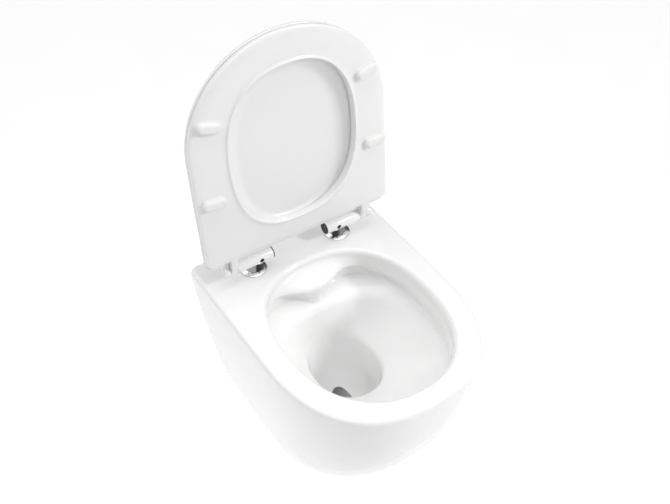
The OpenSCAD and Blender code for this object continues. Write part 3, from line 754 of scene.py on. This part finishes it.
# Materials
def material(name, color, rough, metallic, coat, scale, spread, bump, bump_scale):
    """Surface whose colour and roughness vary a little, with fine relief where bump is above 0."""
    mat = bpy.data.materials.new(name)
    mat.use_nodes = True
    nt = mat.node_tree
    b = nt.nodes["Principled BSDF"]
    b.inputs["Metallic"].default_value = metallic
    b.inputs["Coat Weight"].default_value = coat
    b.inputs["Coat Roughness"].default_value = 0.03
    co = nt.nodes.new("ShaderNodeTexCoord")
    noise = nt.nodes.new("ShaderNodeTexNoise")
    noise.inputs["Scale"].default_value = scale
    noise.inputs["Detail"].default_value = 3
    nt.links.new(co.outputs["Object"], noise.inputs["Vector"])
    ramp = nt.nodes.new("ShaderNodeValToRGB")
    ramp.color_ramp.elements[0].position = 0.3
    ramp.color_ramp.elements[1].position = 0.7
    ramp.color_ramp.elements[0].color = tuple(c * (1 - spread) for c in color) + (1,)
    ramp.color_ramp.elements[1].color = tuple(min(1, c * (1 + spread * 0.3)) for c in color) + (1,)
    nt.links.new(noise.outputs["Fac"], ramp.inputs["Fac"])
    nt.links.new(ramp.outputs["Color"], b.inputs["Base Color"])
    span = nt.nodes.new("ShaderNodeMapRange")
    span.inputs["To Min"].default_value = rough * 0.8
    span.inputs["To Max"].default_value = rough * 1.25
    nt.links.new(noise.outputs["Fac"], span.inputs["Value"])
    nt.links.new(span.outputs["Result"], b.inputs["Roughness"])
    if bump:
        fine = nt.nodes.new("ShaderNodeTexNoise")
        fine.inputs["Scale"].default_value = bump_scale
        nt.links.new(co.outputs["Object"], fine.inputs["Vector"])
        bm = nt.nodes.new("ShaderNodeBump")
        bm.inputs["Strength"].default_value = bump
        bm.inputs["Distance"].default_value = 0.0005
        nt.links.new(fine.outputs["Fac"], bm.inputs["Height"])
        nt.links.new(bm.outputs["Normal"], b.inputs["Normal"])
    return mat


# Colour, roughness, metal, coat, fineness and amount of the variation, depth and fineness of the relief
LOOKS = {
    "glazed_ceramic": ((0.92, 0.92, 0.917), 0.08, 0, 0.4, 18, 0.008, 0.05, 30),
    "seat_plastic": ((0.89, 0.89, 0.89), 0.2, 0, 0.25, 40, 0.006, 0.05, 160),
    "buffer_plastic": ((0.87, 0.87, 0.862), 0.42, 0, 0, 200, 0.02, 0.15, 900),
    "barrel_plastic": ((0.95, 0.95, 0.952), 0.26, 0, 0, 200, 0.01, 0.08, 900),
    "chrome": ((0.93, 0.93, 0.94), 0.14, 1, 0, 300, 0.03, 0, 400),
    "steel": ((0.55, 0.56, 0.58), 0.28, 1, 0, 500, 0.1, 0.1, 1200),
    # The dark plastic gives the painted shade of each hinge's black end, plate and sleeve, built below.
    "dark_plastic": ((0.02, 0.02, 0.022), 0.45, 0, 0, 300, 0.2, 0.2, 1500),
    "rubber": ((0.02, 0.02, 0.02), 0.7, 0, 0, 300, 0.2, 0.25, 1200)
}
MATS = {name: material(name, *look) for name, look in LOOKS.items()}


def paint(obj, slot):
    """Gives a piece the one material of its slot."""
    obj.data.materials.clear()
    obj.data.materials.append(MATS[slot])


# Smaller pieces, and the looks of the solids that stay
SLOTS = {s["node"]: s["material_slot"] for s in frame["record"]["subparts"]}
for node in ("hinge_barrel_left", "hinge_barrel_right", "base_disc_left", "base_disc_right"):
    s = -1 if node.endswith("left") else 1
    piece = barrel(s) if "barrel" in node else disc(s)
    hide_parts(node)
    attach(piece, "hinge_set" if "barrel" in node else "pan")
    paint(piece, SLOTS[node])
# Black end, plate under the barrel and post sleeve of each hinge: painted shade in the barrel's end
# recess, under the barrel and round the post.
for s in (-1, 1):
    for piece, body in ((painted_shade_end(s), "hinge_set"), (painted_shade_plate(s), "hinge_set"), (painted_shade_sleeve(s), "pan")):
        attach(piece, body)
        paint(piece, "dark_plastic")
# Each row of buffers with its distance from the wall and its turn in degrees
for row, y, turn in (("front", 347, -16), ("rear", 216, -3)):
    for side, s in (("left", -1), ("right", 1)):
        node = "seat_buffer_%s_%s" % (row, side)
        piece = buffer(node + "_soft", s, y, turn)
        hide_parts(node)
        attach(piece, "seat")
        paint(piece, SLOTS[node])
for node, obj in frame["nodes"].items():
    for slot in obj.material_slots:
        slot.material = MATS[SLOTS[node]]
paint(pan, "glazed_ceramic")
paint(seat, "seat_plastic")
paint(lid, "seat_plastic")


# Floor and pale surroundings
def glow(mat, strength):
    """Makes a material shine white by itself."""
    shader = mat.node_tree.nodes["Principled BSDF"]
    shader.inputs["Emission Color"].default_value = (1, 1, 1, 1)
    shader.inputs["Emission Strength"].default_value = strength
    return shader


corners = [(x * FLOOR_R, y * FLOOR_R, FLOOR_Z) for x, y in ((-1, -1), (1, -1), (1, 1), (-1, 1))]
floor = make_mesh("floor", corners, [(0, 1, 2, 3)])
floor_pale = material("floor_pale", (0.95, 0.95, 0.95), 0.6, 0, 0, 4, 0.004, 0, 400)
glow(floor_pale, 0.1)
floor.data.materials.append(floor_pale)

# The dome is seen by the camera alone
rows = []
a = np.linspace(0, 2 * math.pi, 96, endpoint=False)
for k in np.radians(np.linspace(-4, 89.5, 20)):
    across = DOME_R * math.cos(k)
    up = DOME_R * math.sin(k) + FLOOR_Z
    rows.append(np.column_stack([across * np.cos(a), across * np.sin(a), np.full(len(a), up)]))
dome = skin("surroundings", rows)
dome_pale = bpy.data.materials.new("surroundings_pale")
dome_pale.use_nodes = True
glow(dome_pale, 0.82).inputs["Base Color"].default_value = (0, 0, 0, 1)
dome.data.materials.append(dome_pale)
dome.visible_diffuse = False
dome.visible_glossy = False
dome.visible_transmission = False
dome.visible_volume_scatter = False
dome.visible_shadow = False


# Light
def lamp(name, place, target, size, watts):
    """Square lamp that faces a target: metres and watts."""
    data = bpy.data.lights.new(name, "AREA")
    data.shape = "RECTANGLE"
    data.size = size
    data.size_y = size
    data.energy = watts
    obj = bpy.data.objects.new(name, data)
    bpy.context.scene.collection.objects.link(obj)
    obj.location = place
    d = Vector(target) - Vector(place)
    obj.rotation_euler = d.to_track_quat("-Z", "Y").to_euler()
    return obj


PAN_MIDDLE = (0, -0.22, 0.1)
lamp("key", (1.49, -1.7, 1.64), PAN_MIDDLE, 0.4, 24)


def sky(base, lobes):
    """Even white surroundings with soft brighter patches: direction, narrowness and strength."""
    world = bpy.data.worlds.new("studio")
    world.use_nodes = True
    nt = world.node_tree
    co = nt.nodes.new("ShaderNodeTexCoord")
    total = None
    for direction, narrow, strength in lobes:
        dot = nt.nodes.new("ShaderNodeVectorMath")
        dot.operation = "DOT_PRODUCT"
        dot.inputs[1].default_value = Vector(direction).normalized()
        nt.links.new(co.outputs["Generated"], dot.inputs[0])
        steps = [("MAXIMUM", 0.0), ("POWER", narrow), ("MULTIPLY", strength)]
        value = dot.outputs["Value"]
        for how, number in steps:
            node = nt.nodes.new("ShaderNodeMath")
            node.operation = how
            node.inputs[1].default_value = number
            nt.links.new(value, node.inputs[0])
            value = node.outputs["Value"]
        both = nt.nodes.new("ShaderNodeMath")
        both.operation = "ADD"
        both.inputs[1].default_value = base
        nt.links.new(value, both.inputs[0])
        if total:
            nt.links.new(total, both.inputs[1])
        total = both.outputs["Value"]
    back = nt.nodes["Background"]
    back.inputs["Color"].default_value = (1, 1, 1, 1)
    nt.links.new(total, back.inputs["Strength"])
    return world


# A broad patch overhead, one behind on the left and two weaker ones in front
PATCHES = [
    ((0, 0, 1), 8, 2.05), ((-0.6, 0.5, 0.6), 3, 1.0),
    ((-0.6, -0.6, 0.5), 3, 0.38), ((0.6, -0.6, 0.5), 3, 0.55)
]
bpy.context.scene.world = sky(0.05, PATCHES)
bpy.context.scene.view_settings.view_transform = "Standard"

# Camera, as fitted to the photo: its right, up and backward directions and its place in metres
cam_data = bpy.data.cameras.new("camera")
cam_data.sensor_width = 36
cam_data.lens = 52.5707
cam_data.clip_end = 50
cam = bpy.data.objects.new("camera", cam_data)
bpy.context.scene.collection.objects.link(cam)
right = Vector((0.833374, -0.552473, 0.016178))
up = Vector((0.3749, 0.586539, 0.717929))
backward = Vector((-0.406126, -0.592238, 0.695928))
facing = Matrix((right, up, backward)).transposed().to_4x4()
cam.matrix_world = Matrix.Translation(Vector((-0.63601, -1.10415, 1.26159))) @ facing
bpy.context.scene.camera = cam
